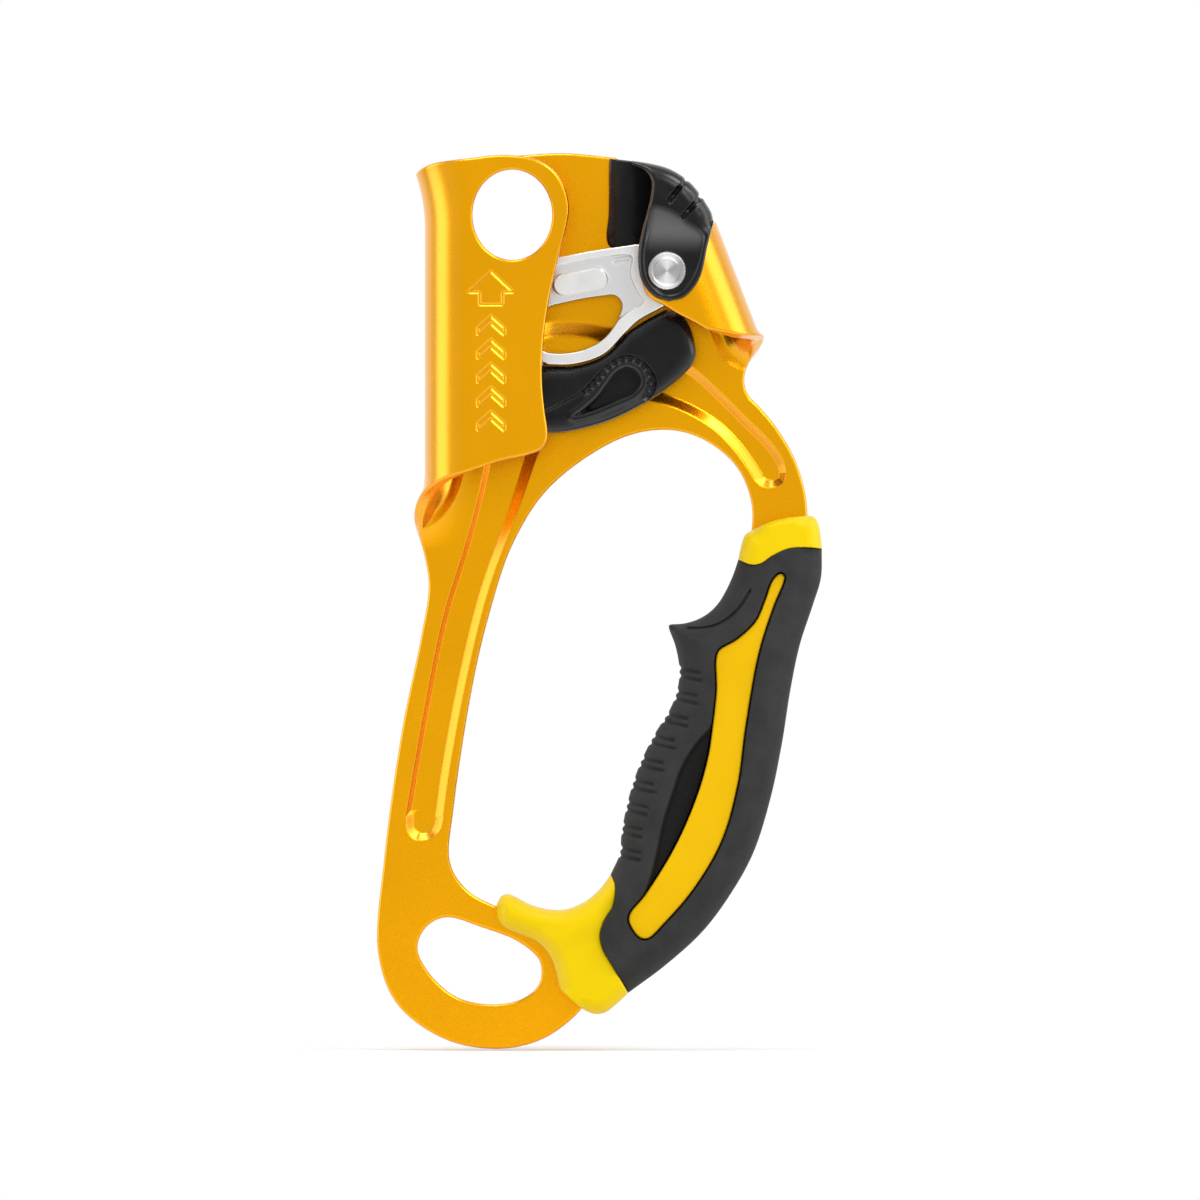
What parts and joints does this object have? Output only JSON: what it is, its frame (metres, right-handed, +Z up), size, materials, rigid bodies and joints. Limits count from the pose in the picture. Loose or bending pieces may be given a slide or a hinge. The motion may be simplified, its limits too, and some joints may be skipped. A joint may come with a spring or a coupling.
{
  "type": "ascender",
  "caption": "Handled rope clamp with a folded plate frame, spring-loaded toothed cam with trigger, moulded grip, clip hole and foot-loop eye.",
  "frame": {"origin": "on the centre line of the rope channel, level with the cam axle", "axes": "+Z up along the rope, +X to the right seen from the front, +Y to the back; the front with the cam and the axle head faces -Y"},
  "size_m": [0.0967, 0.0333, 0.1952],
  "materials": {
    "anodised_frame": "satin amber-gold anodised",
    "cam_steel": "chrome-plated, satin",
    "rivet_steel": "turned, bright",
    "bush_bronze": "plain",
    "black_plastic": "fine spark texture",
    "yellow_plastic": "semi-gloss moulded",
    "grip_rubber": "matte moulded"
  },
  "bodies": {
    "frame": {"frame": "anodised_frame", "cam_axle": "rivet_steel", "axle_lock_ring": "rivet_steel", "washer_front": "rivet_steel", "washer_rear": "rivet_steel", "thumb_cap": "black_plastic", "grip_core": "yellow_plastic", "grip_rubber": "grip_rubber"},
    "cam": {"cam": "cam_steel", "cam_bush": "bush_bronze", "cam_spring": "rivet_steel", "trigger_pin": "rivet_steel", "trigger_spring": "rivet_steel"},
    "trigger": {"trigger": "black_plastic"}
  },
  "joints": [
    {"name": "cam_pivot", "type": "hinge", "parent": "frame", "child": "cam", "pos_m": [0.0422, 0, -0.0003], "axis": [0, -1, 0], "range_deg": [0, 30], "stiffness_Nm_per_rad": 0.06, "springref_deg": -34.38},
    {"name": "trigger_pivot", "type": "hinge", "parent": "cam", "child": "trigger", "pos_m": [0.0098, 0, -0.0256], "axis": [0, 1, 0], "range_deg": [0, 7], "stiffness_Nm_per_rad": 0.02, "springref_deg": -17.19}
  ]
}
